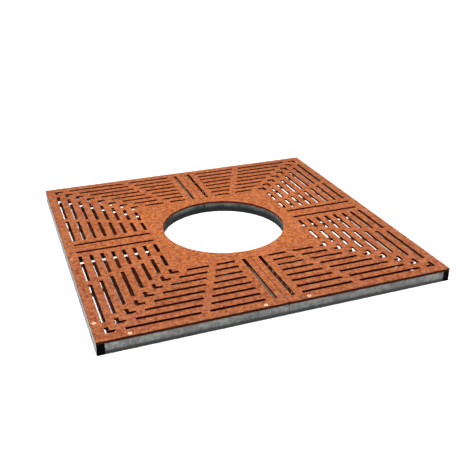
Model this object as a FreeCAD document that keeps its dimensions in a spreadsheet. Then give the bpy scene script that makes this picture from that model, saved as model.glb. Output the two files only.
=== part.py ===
import FreeCAD, Part
import math
import os

import Sketcher

# Square steel tree grate in two halves: slotted weathering-steel plates on a welded frame of
# galvanised rectangular tube, with a rolled ring round the trunk opening.
# Frame: origin at the centre of the underside, +Z up, +X to the right, -Y to the front.
# The seam between the halves is the plane x = 0. Lengths are in millimetres, angles in degrees.

DRIVING_SIZES = {
    "plate_side": (1500, "side of the square grate"),
    "plate_thickness": (8, "weathering-steel plate"),
    "seam_gap": (2, "gap between the two halves"),
    "opening_diameter": (580, "round opening for the trunk"),
    "slot_width": (16, "width of every slot"),
    "row_pitch": (48, "distance from one square row of slots to the next"),
    "edge_margin": (43, "solid border outside the outermost row"),
    "opening_band": (65, "least solid band between the opening and the innermost row"),
    "axis_slot_offset": (38, "middle of an axis slot, from the grate's centre line"),
    "axis_band": (80, "where the rows start, from the grate's centre line"),
    "rib_offset": (23, "where a slanting rib's line crosses the grate's centre line"),
    "rib_angle": (23.35, "slant of the ribs that divide the rows"),
    "rib_gap": (34.5, "solid stretch of a row where a rib crosses it"),
    "corner_leg": (40, "outer length of a corner slot's leg"),
    "corner_rib": (34.5, "solid stretch between a corner slot and the next slot"),
    "rail_height": (50, "tube, upright side"),
    "rail_width": (30, "tube, flat side"),
    "rail_wall": (3, "tube wall"),
    "rail_radius": (6, "outer corner radius of the tube"),
    "ring_wall": (5, "rolled flat bar round the opening"),
    "ring_setback": (2, "how far the ring stands back from the plate's edge"),
    "weld_gap": (0.3, "fitting gap where a tube or lug meets the ring"),
    "weld_leg": (4, "leg of a fillet weld bead"),
    "lug_length": (32, "lug under the plate, along the radius"),
    "lug_width": (40, "lug under the plate, across the radius"),
    "lug_thickness": (6, "lug under the plate"),
    "lug_angle": (22.5, "lugs and their screws, from the nearest centre line"),
    "cap_head": (4, "thickness of an end cap's head"),
    "cap_edge": (2, "rounding of the head's front edge"),
    "cap_wall": (2.5, "wall of the cap's hollow core"),
    "cap_core_gap": (1.2, "gap between the cap's core and the tube"),
    "cap_rib_gap": (0.2, "gap between the cap's ribs and the tube"),
    "cap_rib": (1.5, "thickness of one rib"),
    "cap_rib_pitch": (5, "distance from one rib to the next"),
    "screw_diameter": (8, "countersunk screw, thread"),
    "screw_head_diameter": (16, "countersunk screw, head"),
    "screw_head_rim": (0.5, "straight rim of the head"),
    "screw_length": (25, "countersunk screw, over all"),
    "screw_socket": (5, "hexagon socket across flats"),
    "screw_socket_depth": (2.8, "hexagon socket"),
    "screw_hole_gap": (0.5, "gap between a screw and its hole in the plate"),
    "seat_gap": (0.15, "gap between a screw head and its countersink"),
    "thread_gap": (0.1, "gap that stands for a thread"),
    "corner_screw_inset": (125, "outer edge screws, from the grate's corner"),
    "axis_screw_offset": (93, "inner edge screws, from the grate's centre line"),
    "nut_diameter": (11, "rivet nut, barrel"),
    "nut_length": (16, "rivet nut, over all"),
    "nut_flange_diameter": (13, "rivet nut, sunk flange"),
    "nut_flange": (0.8, "rivet nut, thickness of the flange"),
    "nut_bulge_diameter": (14.5, "rivet nut, bulge under the tube wall"),
    "nut_bulge": (4, "rivet nut, height of the bulge"),
    "nut_hole_gap": (0.1, "gap between a rivet nut and its hole"),
    "bolt_diameter": (10, "joining bolt, thread"),
    "bolt_overhang": (6, "joining bolt, length beyond its nut"),
    "bolt_head": (6.4, "joining bolt, height of the head"),
    "bolt_flats": (16, "joining bolt and nut across flats"),
    "bolt_nut": (8.4, "joining nut, height"),
    "bolt_hole_gap": (0.5, "gap between a joining bolt and its hole"),
    "bolt_height": (20, "joining bolts, above the ground"),
    "bolt_inset": (90, "joining bolts, from the ends of the seam rail"),
    "washer_diameter": (20, "joining washers"),
    "washer_thickness": (2, "joining washers"),
    "spacer_gap": (0.2, "gap between a spacer washer and the right half"),
}
CAP_RIB_COUNT = 3  # sealing ribs on one end cap
SOCKET_TURN = 17  # each screw stops this much further round than the one before
OVERRUN = 10  # how far a cutting tool reaches past what it cuts
HEXAGON_CORNERS = 1 / math.cos(math.radians(30))  # corner radius over half the width across flats

doc = FreeCAD.newDocument("tree_grate")
sheet = doc.addObject("Spreadsheet::Sheet", "sizes")
for row, (alias, (number, meaning)) in enumerate(DRIVING_SIZES.items(), start=1):
    sheet.set("A%d" % row, meaning)
    sheet.set("B%d" % row, str(number))
    sheet.setAlias("B%d" % row, alias)
doc.recompute()

# Places and sizes that several pieces share, as expressions on the sheet.
HALF_SIDE = "(sizes.plate_side / 2)"
RAIL_MIDDLE = "(sizes.plate_side / 2 - sizes.rail_width / 2)"
RAIL_INSIDE = "(sizes.plate_side / 2 - sizes.rail_width)"
SEAM_EDGE = "(sizes.seam_gap / 2)"
SEAM_MIDDLE = "(sizes.seam_gap / 2 + sizes.rail_width / 2)"
SEAM_FAR = "(sizes.seam_gap / 2 + sizes.rail_width)"
PLATE_TOP = "(sizes.rail_height + sizes.plate_thickness)"
OPENING_RADIUS = "(sizes.opening_diameter / 2)"
RING_INNER = "(%s + sizes.ring_setback)" % OPENING_RADIUS
RING_OUTER = "(%s + sizes.ring_wall)" % RING_INNER
RING_SEAT = "(%s + sizes.weld_gap)" % RING_OUTER
LUG_SCREW = "(%s + sizes.lug_length / 2)" % RING_SEAT
OUTER_SCREW = "(sizes.plate_side / 2 - sizes.corner_screw_inset)"
INNER_SCREW = "sizes.axis_screw_offset"
SCREW_RADIUS = "(sizes.screw_diameter / 2)"
HEAD_RADIUS = "(sizes.screw_head_diameter / 2)"
HEAD_CONE = "(%s - %s)" % (HEAD_RADIUS, SCREW_RADIUS)
OUTER_BOLT = "(%s - sizes.bolt_inset)" % RAIL_INSIDE
INNER_BOLT = "(%s + sizes.bolt_inset)" % RING_SEAT

SIDES = {"left": -1, "right": 1}
ENDS = {"front": -1, "back": 1}

nodes = []


def size(alias):
    """A driving dimension as a number, for counting."""
    return float(sheet.get(alias))


def row_count():
    """Square rows of slots that fit between the plate's border and the band round the opening."""
    room = size("plate_side") / 2 - size("edge_margin") - size("slot_width")
    room -= size("opening_diameter") / 2 + size("opening_band")
    return int(room / size("row_pitch") + 1e-6) + 1


ROW_COUNT = row_count()
ROWS_OUTER_EDGE = "(sizes.plate_side / 2 - sizes.edge_margin)"
ROWS_INNER_EDGE = "(%s - %d * sizes.row_pitch - sizes.slot_width)" % (ROWS_OUTER_EDGE, ROW_COUNT - 1)


def finish(piece, label):
    """Names a piece and adds it to the nodes that are written out."""
    piece.Label = label
    nodes.append(piece)


def times(sign, expression):
    """An expression on the positive or the negative side of a centre line."""
    return "%d * %s" % (sign, expression)


def span(sign, near, far):
    """Low and high end of a stretch on one side of a centre line."""
    if sign > 0:
        return near, far
    return "-(%s)" % far, "-(%s)" % near


def past(expression, ends=1):
    """A length that overruns what it cuts at one end or both."""
    return "%s + %d" % (expression, ends * OVERRUN)


def bind(piece, **expressions):
    """Binds properties to expressions; x, y and z stand for the piece's place."""
    for name, expression in expressions.items():
        path = "Placement.Base." + name if name in ("x", "y", "z") else name
        piece.setExpression(path, str(expression))
    return piece


def turn(piece, axis, angle):
    piece.Placement.Rotation = FreeCAD.Rotation(FreeCAD.Vector(*axis), angle)
    return piece


def box(name, x_low, x_high, y_low, y_high, z_low, z_high):
    """A box between six planes, each given as an expression."""
    piece = doc.addObject("Part::Box", name)
    bind(piece, x=x_low, y=y_low, z=z_low)
    return bind(piece, Length="%s - (%s)" % (x_high, x_low), Width="%s - (%s)" % (y_high, y_low),
                Height="%s - (%s)" % (z_high, z_low))


def cylinder(name, radius, height, x=0, y=0, z=0):
    piece = doc.addObject("Part::Cylinder", name)
    return bind(piece, Radius=radius, Height=height, x=x, y=y, z=z)


def cone(name, low_radius, high_radius, height, x=0, y=0, z=0):
    piece = doc.addObject("Part::Cone", name)
    return bind(piece, Radius1=low_radius, Radius2=high_radius, Height=height, x=x, y=y, z=z)


def hexagon(name, flats, height, z=0):
    """A hexagonal prism by its width across flats."""
    piece = doc.addObject("Part::Prism", name)
    piece.Polygon = 6
    return bind(piece, Circumradius="%s / 2 * %r" % (flats, HEXAGON_CORNERS), Height=height, z=z)


def group(name, pieces):
    piece = doc.addObject("Part::Compound", name)
    piece.Links = pieces
    return piece


def fuse(name, pieces):
    piece = doc.addObject("Part::MultiFuse", name)
    piece.Shapes = pieces
    return piece


def cut(name, base, tool):
    piece = doc.addObject("Part::Cut", name)
    piece.Base = base
    piece.Tool = tool
    return piece


def copy_of(master, name, x=0, y=0, z=0, axis=(0, 0, 1), angle=0):
    """A copy that follows its master and stands at its own place."""
    piece = doc.addObject("App::Link", name)
    piece.LinkedObject = master
    piece.LinkTransform = True
    turn(piece, axis, angle)
    return bind(piece, x=x, y=y, z=z)


# Tubes and end caps share one kind of sketch: rounded rectangles across the body's X axis.

TUBE_OUTSIDE = ("sizes.rail_width", "sizes.rail_height", "sizes.rail_radius")
TUBE_INNER_RADIUS = "(sizes.rail_radius - sizes.rail_wall)"


def tube_inside(gap="0", radius=TUBE_INNER_RADIUS):
    """The outline inside the tube, drawn in by a gap."""
    inset = "2 * (sizes.rail_wall + %s)" % gap
    return "sizes.rail_width - " + inset, "sizes.rail_height - " + inset, radius


def rounded_outline(sketch, width, height, radius):
    """A rounded rectangle round the sketch's origin, bound to three expressions."""
    half_width, half_height, corner = 20.0, 30.0, 5.0  # a first guess that the sketch solves from
    flat, tall = half_width - corner, half_height - corner
    first = sketch.GeometryCount
    lines = range(first, first + 4)
    arcs = range(first + 4, first + 8)
    for start, stop in (((-flat, -half_height), (flat, -half_height)),
                        ((half_width, -tall), (half_width, tall)),
                        ((flat, half_height), (-flat, half_height)),
                        ((-half_width, tall), (-half_width, -tall))):
        sketch.addGeometry(Part.LineSegment(FreeCAD.Vector(*start, 0), FreeCAD.Vector(*stop, 0)))
    for x, y, angle in ((flat, -tall, -90), (flat, tall, 0), (-flat, tall, 90), (-flat, -tall, 180)):
        circle = Part.Circle(FreeCAD.Vector(x, y, 0), FreeCAD.Vector(0, 0, 1), corner)
        sketch.addGeometry(Part.ArcOfCircle(circle, math.radians(angle), math.radians(angle + 90)))
    rules = [("Symmetric", arcs[0], 3, arcs[2], 3, -1, 1)]
    for index in range(4):
        rules.append(("Tangent", lines[index], 2, arcs[index], 1))
        rules.append(("Tangent", arcs[index], 2, lines[(index + 1) % 4], 1))
        rules.append(("Vertical" if index % 2 else "Horizontal", lines[index]))
    rules += [("Equal", arcs[0], arc) for arc in arcs[1:]]
    sketch.addConstraint([Sketcher.Constraint(*rule) for rule in rules])
    measures = {("Radius", arcs[0], corner): radius,
                ("DistanceX", lines[3], 1, lines[1], 1, 2 * half_width): width,
                ("DistanceY", lines[0], 1, lines[2], 1, 2 * half_height): height}
    for rule, expression in measures.items():
        place = sketch.addConstraint(Sketcher.Constraint(*rule))
        sketch.setExpression("Constraints[%d]" % place, expression)


def padded(body, name, outlines, length, offset="0"):
    """Pads a sketch of rounded outlines along the body's X axis, from an offset on."""
    sketch = body.newObject("Sketcher::SketchObject", name + "_outline")
    plane = next(item for item in body.Origin.OriginFeatures if item.Role == "YZ_Plane")
    sketch.AttachmentSupport = [(plane, "")]
    sketch.MapMode = "FlatFace"
    sketch.setExpression("AttachmentOffset.Base.z", offset)
    for outline in outlines:
        rounded_outline(sketch, *outline)
    feature = body.newObject("PartDesign::Pad", name)
    feature.Profile = sketch
    feature.setExpression("Length", length)
    return feature


def tube(name, length, x, y, angle=0):
    """A rectangular tube that starts at x, y and runs along X, turned by an angle about Z."""
    body = doc.addObject("PartDesign::Body", name)
    padded(body, name + "_length", (TUBE_OUTSIDE, tube_inside()), length)
    turn(body, (0, 0, 1), angle)
    return bind(body, x=x, y=y, z="sizes.rail_height / 2")


# Places of the screws, as pairs of expressions.


def edge_screw_places(side):
    """Screws along a half's side rail, front rail and back rail."""
    stops = (OUTER_SCREW, INNER_SCREW)
    places = {"side": [(times(side, RAIL_MIDDLE), times(end, stop)) for end in (-1, 1) for stop in stops]}
    for name, end in ENDS.items():
        places[name] = [(times(side, stop), times(end, RAIL_MIDDLE)) for stop in stops]
    return places


def ring_screw_places(side):
    """Screws through the lugs round the opening."""
    places = []
    for angle in ("sizes.lug_angle", "(90 - sizes.lug_angle)"):
        for end in (-1, 1):
            x = "%s * cos(%s * 1 deg)" % (LUG_SCREW, angle)
            y = "%s * sin(%s * 1 deg)" % (LUG_SCREW, angle)
            places.append((times(side, x), times(end, y)))
    return places


# Plates


def slot_tools(name, side):
    """Boxes that cut a half's slots; the second legs of the corner slots are in a set of their own."""
    straight, legs = [], []

    def slot(store, label, x_span, y_span):
        depth = "sizes.rail_height - %d" % OVERRUN, past(PLATE_TOP)
        store.append(box("%s_%s" % (name, label), *x_span, *y_span, *depth))

    for row in range(ROW_COUNT):
        outer = "(%s - %d * sizes.row_pitch)" % (ROWS_OUTER_EDGE, row)
        inner = "(%s - sizes.slot_width)" % outer
        rib = "(sizes.rib_offset + (%s - sizes.slot_width / 2) * tan(sizes.rib_angle * 1 deg))" % outer
        corner = "(%s - sizes.corner_leg)" % outer
        stretches = {"near": ("sizes.axis_band", "(%s - sizes.rib_gap / 2)" % rib),
                     "far": ("(%s + sizes.rib_gap / 2)" % rib, "(%s - sizes.corner_rib)" % corner)}
        for end_name, end in ENDS.items():
            label = "%s_%d" % (end_name, row)
            for stretch_name, stretch in stretches.items():
                slot_label = "%s_%s" % (stretch_name, label)
                slot(straight, "side_" + slot_label, span(side, inner, outer), span(end, *stretch))
                slot(straight, slot_label, span(side, *stretch), span(end, inner, outer))
            slot(straight, "corner_" + label, span(side, corner, outer), span(end, inner, outer))
            slot(legs, "corner_leg_" + label, span(side, inner, outer), span(end, corner, inner))
    beside_axis = [sign.join(("sizes.axis_slot_offset", "sizes.slot_width / 2")) for sign in (" - ", " + ")]
    along_axis = ROWS_INNER_EDGE, ROWS_OUTER_EDGE
    for end_name, end in ENDS.items():
        slot(straight, "axis_" + end_name, span(side, *beside_axis), span(end, *along_axis))
        slot(straight, "axis_side_" + end_name, span(side, *along_axis), span(end, *beside_axis))
    return straight, legs


def top_plate(half, side):
    """Half of the slotted plate, with countersunk screw holes."""
    name = half + "_plate"
    blank = box(name + "_blank", *span(side, SEAM_EDGE, HALF_SIDE), "-" + HALF_SIDE, HALF_SIDE,
                "sizes.rail_height", PLATE_TOP)
    through = past("sizes.plate_thickness", 2)
    under = "sizes.rail_height - %d" % OVERRUN
    straight, legs = slot_tools(name, side)
    straight.append(cylinder(name + "_opening", OPENING_RADIUS, through, z=under))
    sink_rise = "(sizes.screw_head_rim + sizes.seat_gap)"
    sink_depth = "(%s + %s)" % (HEAD_CONE, sink_rise)
    places = sum(edge_screw_places(side).values(), []) + ring_screw_places(side)
    for index, (x, y) in enumerate(places):
        hole_radius = SCREW_RADIUS + " + sizes.screw_hole_gap"
        straight.append(cylinder("%s_hole_%d" % (name, index), hole_radius, through, x, y, under))
        legs.append(cone("%s_sink_%d" % (name, index), SCREW_RADIUS, "%s + %s" % (HEAD_RADIUS, sink_rise),
                         sink_depth, x, y, "%s - %s" % (PLATE_TOP, sink_depth)))
    slotted = cut(name + "_slotted", blank, group(name + "_first_cuts", straight))
    finish(cut(name + "_drilled", slotted, group(name + "_second_cuts", legs)), half + "_top_plate")


# Frame


def drilled_for_nuts(label, rail, places):
    """A rail with stepped holes in its top wall: one step for a rivet nut's barrel, one for its flange."""
    barrels, flanges = [], []
    for index, (x, y) in enumerate(places):
        barrel_radius = "sizes.nut_diameter / 2 + sizes.nut_hole_gap"
        flange_radius = "sizes.nut_flange_diameter / 2 + sizes.nut_hole_gap"
        barrels.append(cylinder("%s_hole_%d" % (label, index), barrel_radius, past("2 * sizes.rail_wall"),
                                x, y, "sizes.rail_height - 2 * sizes.rail_wall"))
        flanges.append(cylinder("%s_sink_%d" % (label, index), flange_radius, past("sizes.nut_flange"),
                                x, y, "sizes.rail_height - sizes.nut_flange"))
    drilled = cut(label + "_drilled", rail, group(label + "_holes", barrels))
    finish(cut(label + "_sunk", drilled, group(label + "_sinks", flanges)), label)


def outer_rails(half, side):
    """Side, front and back rails of a half; the side rail's ends leave room for the caps' heads."""
    places = edge_screw_places(side)
    rail = tube(half + "_side_tube", "sizes.plate_side - 2 * sizes.cap_head", times(side, RAIL_MIDDLE),
                "sizes.cap_head - " + HALF_SIDE, 90)
    drilled_for_nuts(half + "_side_rail", rail, places["side"])
    for name, end in ENDS.items():
        rail = tube("%s_%s_tube" % (half, name), "%s - %s" % (RAIL_INSIDE, SEAM_EDGE),
                    span(side, SEAM_EDGE, RAIL_INSIDE)[0], times(end, RAIL_MIDDLE))
        drilled_for_nuts("%s_%s_rail" % (half, name), rail, places[name])


def inner_rails(half, side):
    """Seam rails and middle rail of a half, shaped to the ring at their inner ends."""
    length = "%s - %s" % (RAIL_INSIDE, OPENING_RADIUS)
    hole_radius = "sizes.bolt_diameter / 2 + sizes.bolt_hole_gap"
    shaping = cylinder(half + "_shaping", RING_SEAT, past("sizes.rail_height", 2), z=-OVERRUN)
    for name, end in ENDS.items():
        label = "%s_%s_seam_rail" % (half, name)
        start = span(end, OPENING_RADIUS, RAIL_INSIDE)[0]
        rail = tube(label + "_tube", length, times(side, SEAM_MIDDLE), start, 90)
        hole_start = "%s - %d" % (span(side, SEAM_EDGE, SEAM_FAR)[0], OVERRUN)
        holes = []
        for place in (OUTER_BOLT, INNER_BOLT):
            hole = cylinder("%s_hole_%d" % (label, len(holes)), hole_radius, past("sizes.rail_width", 2),
                            hole_start, times(end, place), "sizes.bolt_height")
            holes.append(turn(hole, (0, 1, 0), 90))
        drilled = cut(label + "_drilled", rail, group(label + "_holes", holes))
        finish(cut(label + "_shaped", drilled, shaping), label)
    label = half + "_middle_rail"
    rail = tube(label + "_tube", length, span(side, OPENING_RADIUS, RAIL_INSIDE)[0], "0")
    finish(cut(label + "_shaped", rail, shaping), label)


def tree_ring(half, side):
    """Half ring of rolled flat bar."""
    name = half + "_ring"
    outside = cylinder(name + "_outside", RING_OUTER, "sizes.rail_height")
    inside = cylinder(name + "_inside", RING_INNER, past("sizes.rail_height", 2), z=-OVERRUN)
    reach = past(RING_OUTER)
    piece = doc.addObject("Part::Common", name + "_halved")
    piece.Base = cut(name + "_whole", outside, inside)
    piece.Tool = box(name + "_half", *span(side, SEAM_EDGE, reach), "-(%s)" % reach, reach,
                     "0", "sizes.rail_height")
    finish(piece, half + "_tree_ring")


def frame_welds(half, side):
    """Upright fillet beads in the corners where the tubes meet each other and the ring."""
    flank = "(sizes.rail_width / 2)"
    ring_by_middle_rail = "sqrt(%s ^ 2 - %s ^ 2)" % (RING_SEAT, flank)
    ring_by_seam_rail = "sqrt(%s ^ 2 - %s ^ 2)" % (RING_SEAT, SEAM_FAR)
    # Each corner: its place, and whether the bead grows outwards or inwards along x and y.
    corners = ((RAIL_INSIDE, RAIL_INSIDE, -1, -1), (SEAM_FAR, RAIL_INSIDE, 1, -1),
               (SEAM_FAR, ring_by_seam_rail, 1, 1), (RAIL_INSIDE, flank, -1, 1),
               (ring_by_middle_rail, flank, 1, 1))
    bead_length = "sizes.rail_height - 2 * sizes.rail_radius"
    quarter_turn = {(1, 1): 0, (-1, 1): 90, (-1, -1): 180, (1, -1): 270}
    beads = []
    for end in (-1, 1):
        for x, y, x_way, y_way in corners:
            bead = cylinder("%s_bead_%d" % (half, len(beads)), "sizes.weld_leg", bead_length,
                            times(side, x), times(end, y), "sizes.rail_radius")
            bead.Angle = 90
            beads.append(turn(bead, (0, 0, 1), quarter_turn[(x_way * side, y_way * end)]))
    finish(group(half + "_beads", beads), half + "_frame_welds")


def ring_lug():
    """A drilled lug that reaches out from the ring along X, flush with the tubes' tops."""
    under = "sizes.rail_height - sizes.lug_thickness"
    plate = box("lug_plate", RING_SEAT, "%s + sizes.lug_length" % RING_SEAT,
                "-sizes.lug_width / 2", "sizes.lug_width / 2", under, "sizes.rail_height")
    hole = cylinder("lug_hole", SCREW_RADIUS + " + sizes.thread_gap", past("sizes.lug_thickness", 2),
                    LUG_SCREW, z="%s - %d" % (under, OVERRUN))
    return cut("lug", plate, hole)


def ring_lugs(half, side, lug):
    copies = []
    for angle in ("sizes.lug_angle", "(90 - sizes.lug_angle)"):
        for end in (-1, 1):
            piece = copy_of(lug, "%s_lug_%d" % (half, len(copies)), angle=1)
            turned = angle if side > 0 else "(180 - %s)" % angle
            piece.setExpression("Placement.Rotation.Angle", times(end, turned) + " * 1 deg")
            copies.append(piece)
    finish(group(half + "_lugs", copies), half + "_ring_lugs")


def end_cap():
    """A ribbed plastic cap along X: its head ends at x = 0, its core and ribs go on into the tube."""
    body = doc.addObject("PartDesign::Body", "cap")
    padded(body, "cap_head", (TUBE_OUTSIDE,), "sizes.cap_head", "-sizes.cap_head")
    hollow = tube_inside("(sizes.cap_core_gap + sizes.cap_wall)", TUBE_INNER_RADIUS + " / 2")
    core_length = "%d * sizes.cap_rib_pitch" % (CAP_RIB_COUNT + 1)
    padded(body, "cap_core", (tube_inside("sizes.cap_core_gap"), hollow), core_length)
    for index in range(1, CAP_RIB_COUNT + 1):
        rib = padded(body, "cap_rib_%d" % index, (tube_inside("sizes.cap_rib_gap"), hollow), "sizes.cap_rib",
                     "%d * sizes.cap_rib_pitch" % index)
    doc.recompute()
    faces = rib.Shape.Faces
    front = min(range(len(faces)), key=lambda index: faces[index].CenterOfMass.x)
    rounding = body.newObject("PartDesign::Fillet", "cap_edge")
    rounding.Base = (rib, ["Face%d" % (front + 1)])
    rounding.setExpression("Radius", "sizes.cap_edge")
    body.Tip = rounding
    return body


def end_caps(half, side, cap):
    for name, end in ENDS.items():
        label = "%s_%s_end_cap" % (half, name)
        y = "%s - sizes.cap_head" % HALF_SIDE
        piece = copy_of(cap, label + "_copy", times(side, RAIL_MIDDLE), times(end, "(%s)" % y),
                        "sizes.rail_height / 2", angle=-90 * end)
        finish(group(label + "_group", [piece]), label)


# Fasteners


def countersunk_screw():
    """A countersunk screw with a hexagon socket; its head's top is at z = 0."""
    rim = cylinder("screw_rim", HEAD_RADIUS, "sizes.screw_head_rim", z="-sizes.screw_head_rim")
    head = cone("screw_head", SCREW_RADIUS, HEAD_RADIUS, HEAD_CONE, z="-sizes.screw_head_rim - " + HEAD_CONE)
    shank = cylinder("screw_shank", SCREW_RADIUS, "sizes.screw_length", z="-sizes.screw_length")
    socket = hexagon("screw_socket", "sizes.screw_socket", past("sizes.screw_socket_depth"),
                     "-sizes.screw_socket_depth")
    return cut("screw", fuse("screw_solid", [rim, head, shank]), socket)


def rivet_nut():
    """A set rivet nut; its sunk flange's top is at z = 0."""
    flange = cylinder("nut_flange", "sizes.nut_flange_diameter / 2", "sizes.nut_flange",
                      z="-sizes.nut_flange")
    barrel = cylinder("nut_barrel", "sizes.nut_diameter / 2", "sizes.nut_length", z="-sizes.nut_length")
    bulge = cylinder("nut_bulge", "sizes.nut_bulge_diameter / 2", "sizes.nut_bulge",
                     z="-sizes.rail_wall - sizes.nut_bulge")
    bore = cylinder("nut_bore", SCREW_RADIUS + " + sizes.thread_gap", past("sizes.nut_length", 2),
                    z="-sizes.nut_length - %d" % OVERRUN)
    return cut("nut", fuse("nut_solid", [flange, barrel, bulge]), bore)


def screws_and_nuts(half, side, screw, nut):
    """Edge screws with their rivet nuts, and the screws over the ring's lugs."""
    edge_places = sum(edge_screw_places(side).values(), [])
    for kind, master, places, z in (("edge_screws", screw, edge_places, PLATE_TOP),
                                    ("ring_screws", screw, ring_screw_places(side), PLATE_TOP),
                                    ("rivet_nuts", nut, edge_places, "sizes.rail_height")):
        label = "%s_%s" % (half, kind)
        copies = [copy_of(master, "%s_%d" % (label, index), x, y, z, angle=SOCKET_TURN * index)
                  for index, (x, y) in enumerate(places)]
        finish(group(label + "_group", copies), label)


def joining_set():
    """Bolts through both seam rails, with washers under heads and nuts and between the rails."""
    washer_face = "(%s + sizes.washer_thickness)" % SEAM_FAR
    bolt_length = "2 * %s + sizes.bolt_nut + sizes.bolt_overhang" % washer_face
    bolt = fuse("bolt", [hexagon("bolt_head", "sizes.bolt_flats", "sizes.bolt_head", "-sizes.bolt_head"),
                         cylinder("bolt_shank", "sizes.bolt_diameter / 2", bolt_length)])

    def bored(name, blank, gap, height):
        bore = cylinder(name + "_bore", "sizes.bolt_diameter / 2 + " + gap, past(height, 2), z=-OVERRUN)
        return cut(name, blank, bore)

    def ring(name, thickness):
        disc = cylinder(name + "_disc", "sizes.washer_diameter / 2", thickness)
        return bored(name, disc, "sizes.bolt_hole_gap", thickness)

    nut_blank = hexagon("bolt_nut_blank", "sizes.bolt_flats", "sizes.bolt_nut")
    bolt_nut = bored("bolt_nut", nut_blank, "sizes.thread_gap", "sizes.bolt_nut")
    washer = ring("washer", "sizes.washer_thickness")
    spacer = ring("spacer", "(sizes.seam_gap - sizes.spacer_gap)")
    stack = {"joining_bolts": (bolt, "-" + washer_face), "bolt_washers": (washer, "-" + washer_face),
             "spacer_washers": (spacer, "-" + SEAM_EDGE), "nut_washers": (washer, SEAM_FAR),
             "joining_nuts": (bolt_nut, washer_face)}
    for label, (master, x) in stack.items():
        copies = []
        for end in (-1, 1):
            for place in (OUTER_BOLT, INNER_BOLT):
                copies.append(copy_of(master, "%s_%d" % (label, len(copies)), x, times(end, place),
                                      "sizes.bolt_height", (0, 1, 0), 90))
        finish(group(label + "_group", copies), label)


def build():
    lug = ring_lug()
    cap = end_cap()
    screw = countersunk_screw()
    nut = rivet_nut()
    for half, side in SIDES.items():
        top_plate(half, side)
        outer_rails(half, side)
        inner_rails(half, side)
        tree_ring(half, side)
        frame_welds(half, side)
        ring_lugs(half, side, lug)
        end_caps(half, side, cap)
        screws_and_nuts(half, side, screw, nut)
    joining_set()
    doc.recompute()


def write_nodes():
    """Checks every object and every node's shape, then writes one file for each node."""
    failed = [item.Name for item in doc.Objects if "Invalid" in item.State or "Error" in item.State]
    if failed:
        raise RuntimeError("objects failed: " + ", ".join(failed))
    for piece in nodes:
        if piece.Shape.isNull() or not piece.Shape.isValid() or not piece.Shape.Solids:
            raise RuntimeError("no valid solid in " + piece.Label)
    os.makedirs("parts", exist_ok=True)
    for piece in nodes:
        piece.Shape.exportStep(os.path.join("parts", piece.Label + ".step"))
        print(piece.Label, len(piece.Shape.Solids), round(piece.Shape.Volume))


build()
write_nodes()
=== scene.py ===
import math

import bmesh
import bpy
from bpy.props import FloatProperty, FloatVectorProperty, PointerProperty
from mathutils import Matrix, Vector


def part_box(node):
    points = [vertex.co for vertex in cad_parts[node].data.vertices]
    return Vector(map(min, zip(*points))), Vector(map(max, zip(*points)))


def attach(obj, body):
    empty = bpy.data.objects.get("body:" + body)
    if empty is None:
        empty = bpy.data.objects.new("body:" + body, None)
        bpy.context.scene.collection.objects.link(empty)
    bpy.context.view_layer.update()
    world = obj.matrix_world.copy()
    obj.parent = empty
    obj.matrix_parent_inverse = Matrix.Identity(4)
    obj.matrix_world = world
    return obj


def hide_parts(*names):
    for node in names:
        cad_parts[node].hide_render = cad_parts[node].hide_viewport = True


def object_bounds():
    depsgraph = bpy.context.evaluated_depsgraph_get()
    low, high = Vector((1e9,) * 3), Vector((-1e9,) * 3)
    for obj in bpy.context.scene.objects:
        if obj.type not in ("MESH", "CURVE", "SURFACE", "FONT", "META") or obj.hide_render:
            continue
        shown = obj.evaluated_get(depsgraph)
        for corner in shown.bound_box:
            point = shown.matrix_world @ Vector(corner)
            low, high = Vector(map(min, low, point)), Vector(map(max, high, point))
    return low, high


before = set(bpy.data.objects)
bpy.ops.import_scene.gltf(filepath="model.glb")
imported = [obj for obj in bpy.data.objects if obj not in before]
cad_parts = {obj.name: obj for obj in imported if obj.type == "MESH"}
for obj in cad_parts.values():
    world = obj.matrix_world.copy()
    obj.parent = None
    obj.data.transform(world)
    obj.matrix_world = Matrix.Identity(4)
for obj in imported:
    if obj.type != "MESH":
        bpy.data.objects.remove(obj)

bl_info = {
    "name": "Tree grate finishes",
    "version": (1, 0, 0),
    "blender": (4, 5, 0),
    "location": "View3D > Sidebar > Tree grate",
    "description": "Finishes and stage for a two-part tree grate of weathering steel on a galvanised frame",
    "category": "Material",
}

CAD_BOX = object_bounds()
MILLIMETRE = 0.001
TUBE_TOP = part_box("left_side_rail")[1].z  # height at which the plate lies on the frame
GRATE_MIDDLE = (0.0, 0.0, 0.0)
HALVES = {"left": "left_half", "right": "right_half"}  # node prefix and the body that it rides on

BEAD_RIPPLE_STEPS = 6  # rings of points along one ripple of a weld bead
BEAD_ARC_STEPS = 8  # stretches across a bead's quarter round
BEAD_SAG = 0.5  # how far a ripple is bent in its middle, in ripples
BEAD_DIP = 0.14  # depth of the dip between two ripples, as a share of the bead's leg

FLOOR_SIDES = 96  # straight sides of the round floor's edge
PANEL_DISTANCE = 40.0  # in metres, from the grate's middle to the back panel
WALL_TOP = 0.4  # sine of the angle at which the pale walls begin to darken
CEILING_EDGE = 0.55  # sine of the angle at which the dim ceiling begins
SENSOR_WIDTH = 36.0  # in millimetres; the lens is given for it


def linear(hex_colour):
    """An sRGB hex colour as linear red, green, blue and alpha."""
    channels = [int(hex_colour[start:start + 2], 16) / 255 for start in (0, 2, 4)]
    return (*(c / 12.92 if c <= 0.04045 else ((c + 0.055) / 1.055) ** 2.4 for c in channels), 1.0)


def colour_property(name, description, hex_colour):
    return FloatVectorProperty(name=name, description=description, subtype="COLOR", size=4,
                               min=0, max=1, default=linear(hex_colour))


def length_property(name, description, millimetres):
    return FloatProperty(name=name, description=description, unit="LENGTH", min=MILLIMETRE / 10,
                         default=millimetres * MILLIMETRE)


def share_property(name, description, share):
    return FloatProperty(name=name, description=description, subtype="FACTOR", min=0, max=1, default=share)


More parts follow.
